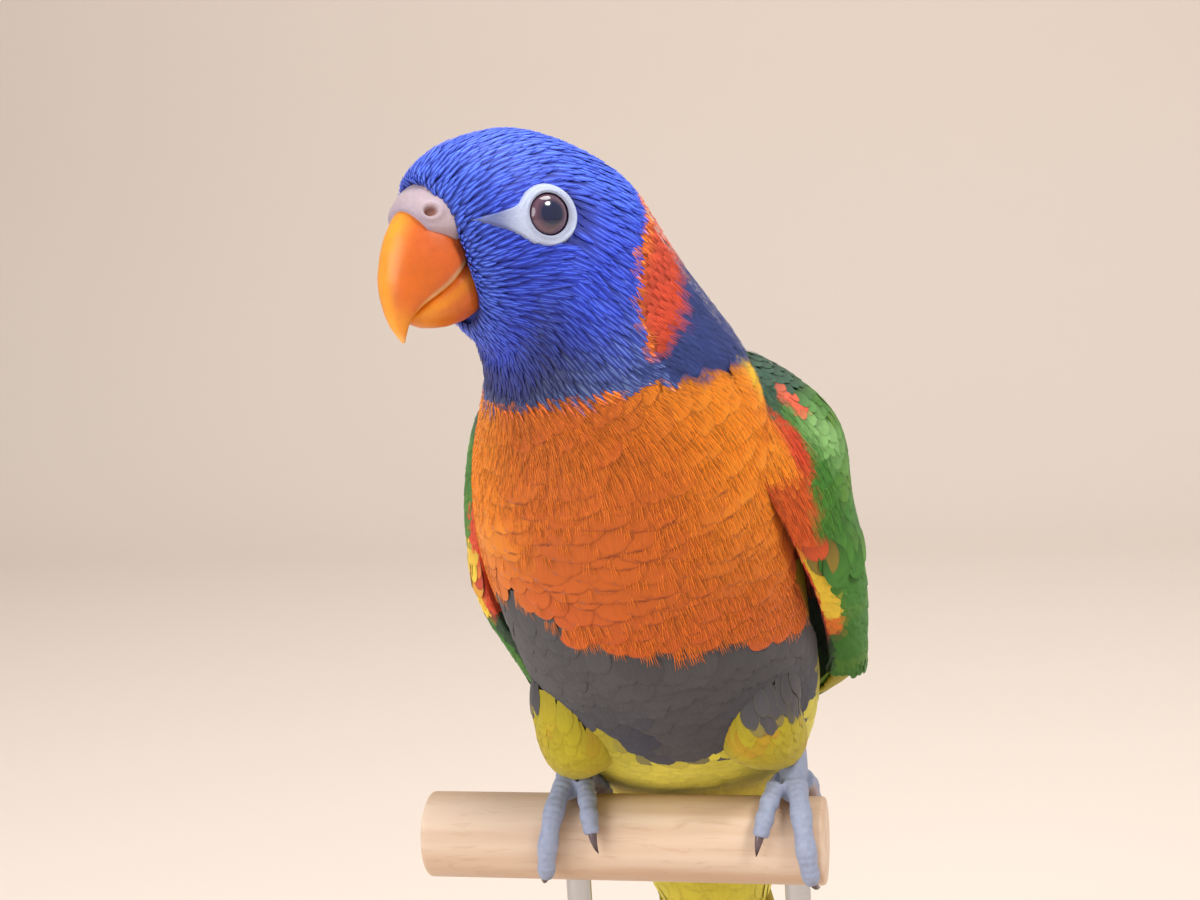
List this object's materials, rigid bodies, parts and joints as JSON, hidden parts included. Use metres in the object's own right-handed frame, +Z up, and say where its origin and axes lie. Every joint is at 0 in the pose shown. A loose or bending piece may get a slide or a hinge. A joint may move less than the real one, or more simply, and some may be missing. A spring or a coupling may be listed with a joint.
{
  "type": "red-collared lorikeet, still life-size model on a cut perch and stand",
  "caption": "Life-size still model of a red-collared lorikeet gripping a cut length of dowel, head turned, on two rods above a flat base.",
  "frame": {"origin": "centre of the underside of the stand's base", "axes": "+Z up; the dowel runs along X; the bird's feet face -Y and its tail hangs towards +Y; +X is the bird's left"},
  "size_m": [0.14, 0.1333, 0.271],
  "materials": {
    "blue_plumage": "soft feathers with a dull sheen",
    "orange_plumage": "soft feathers",
    "green_plumage": "soft feathers with a dull sheen",
    "olive_plumage": "soft feathers",
    "bill": "smooth horn, satin",
    "bare_skin": "fine wrinkled skin, matt",
    "eye": "wet, glossy",
    "scaled_foot": "small scales, matt",
    "claw": "horn, satin",
    "dowel_wood": "planed, unvarnished",
    "stand_wood": "waxed, satin",
    "stand_steel": "brushed"
  },
  "bodies": {
    "root": {"bill_lower": "bill", "bill_upper": "bill", "cere": "bare_skin", "claw_left_1": "claw", "claw_left_2": "claw", "claw_left_3": "claw", "claw_left_4": "claw", "claw_right_1": "claw", "claw_right_2": "claw", "claw_right_3": "claw", "claw_right_4": "claw", "eye_left": "eye", "eye_right": "eye", "eye_ring_left": "bare_skin", "eye_ring_right": "bare_skin", "head": "blue_plumage", "neck": "blue_plumage", "perch": "dowel_wood", "shank_left": "scaled_foot", "shank_right": "scaled_foot", "stand_base": "stand_wood", "stand_rod_left": "stand_steel", "stand_rod_right": "stand_steel", "tail": "green_plumage", "thigh_left": "olive_plumage", "thigh_right": "olive_plumage", "toe_left_1": "scaled_foot", "toe_left_2": "scaled_foot", "toe_left_3": "scaled_foot", "toe_left_4": "scaled_foot", "toe_right_1": "scaled_foot", "toe_right_2": "scaled_foot", "toe_right_3": "scaled_foot", "toe_right_4": "scaled_foot", "trunk": "orange_plumage", "wing_left": "green_plumage", "wing_right": "green_plumage"}
  },
  "joints": []
}
